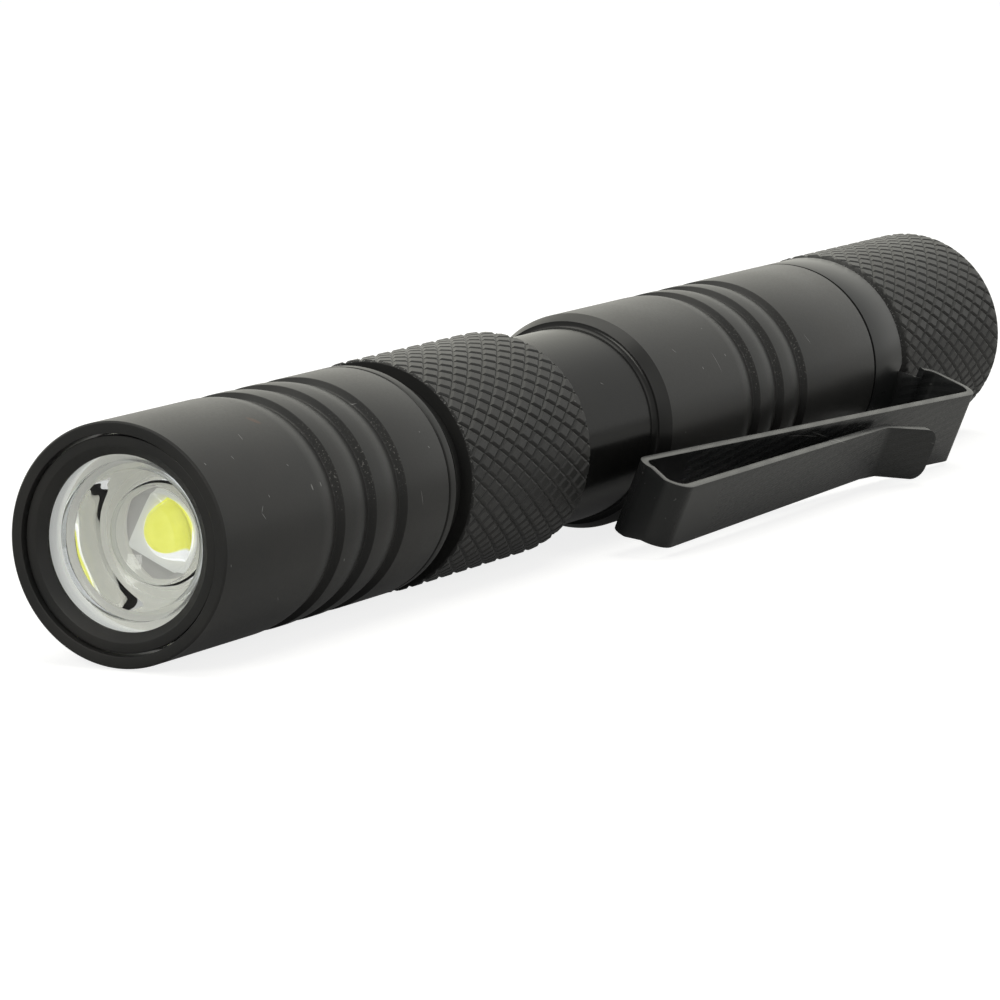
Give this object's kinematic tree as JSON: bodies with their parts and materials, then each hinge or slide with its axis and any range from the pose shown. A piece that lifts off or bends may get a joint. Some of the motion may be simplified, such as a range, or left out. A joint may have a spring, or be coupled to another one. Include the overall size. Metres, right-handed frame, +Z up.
{
  "type": "flashlight",
  "caption": "Slim black pocket flashlight with a knurled grip, finger scoops, a clear lens, a tail button and a two-way pocket clip.",
  "frame": {"origin": "centre of the whole object's footprint on the floor, as it lies on its side against its clip", "axes": "+X along the light from head to tail, +Z up, clip towards -Y and 22 degrees below level"},
  "size_m": [0.1252, 0.0225, 0.0157],
  "materials": {
    "housing_black": "black hard anodised, satin",
    "clip_black": "black coated spring steel, faint diagonal brushing",
    "lens_clear": "clear polished acrylic",
    "seal_black": "greased nitrile, glossy",
    "gasket_black": "matt",
    "boot_black": "matt silicone",
    "holder_white": "moulded nylon",
    "led_ceramic": "white ceramic",
    "led_yellow": "clear silicone over yellow phosphor",
    "board_white": "white solder mask on a metal core",
    "board_green": "green solder mask",
    "component_black": "moulded epoxy",
    "pill_brass": "turned",
    "contact_brass": "turned and plated",
    "collar_black": "moulded",
    "cell_sleeve": "plain printed sleeve over a steel can",
    "spring_plated": "plated spring wire",
    "switch_black": "moulded",
    "plunger_white": "moulded"
  },
  "bodies": {
    "tube": {"battery_tube": "housing_black", "head_oring": "seal_black", "tail_oring": "seal_black", "front_cell": "cell_sleeve", "rear_cell": "cell_sleeve"},
    "head": {"head_housing": "housing_black", "retaining_ring": "housing_black", "optic_gasket": "gasket_black", "optic": "lens_clear", "led_dome": "led_yellow", "led_package": "led_ceramic", "optic_holder": "holder_white", "led_board": "board_white", "led_pill": "pill_brass", "driver_board": "board_green", "driver_inductor": "component_black", "driver_chip": "component_black", "contact_collar": "collar_black", "contact_post": "contact_brass"},
    "clip": {"pocket_clip": "clip_black"},
    "tail": {"tail_cap": "housing_black", "switch_housing": "switch_black", "switch_board": "board_green", "switch_lock_ring": "pill_brass", "tail_spring": "spring_plated"},
    "button": {"switch_boot": "boot_black", "switch_plunger": "plunger_white"}
  },
  "joints": [
    {"name": "head_twist", "type": "hinge", "parent": "tube", "child": "head", "pos_m": [0, 0.00356, 0.00787], "axis": [-1, 0, 0], "range_deg": [0, 360]},
    {"name": "clip_swivel", "type": "hinge", "parent": "tube", "child": "clip", "pos_m": [0, 0.00356, 0.00787], "axis": [1, 0, 0], "continuous": true},
    {"name": "tail_cap_off", "type": "slide", "parent": "tube", "child": "tail", "axis": [1, 0, 0], "range_m": [0, 0.03]},
    {"name": "button_press", "type": "slide", "parent": "tail", "child": "button", "axis": [-1, 0, 0], "range_m": [0, 0.0013], "stiffness_N_per_m": 2000}
  ]
}
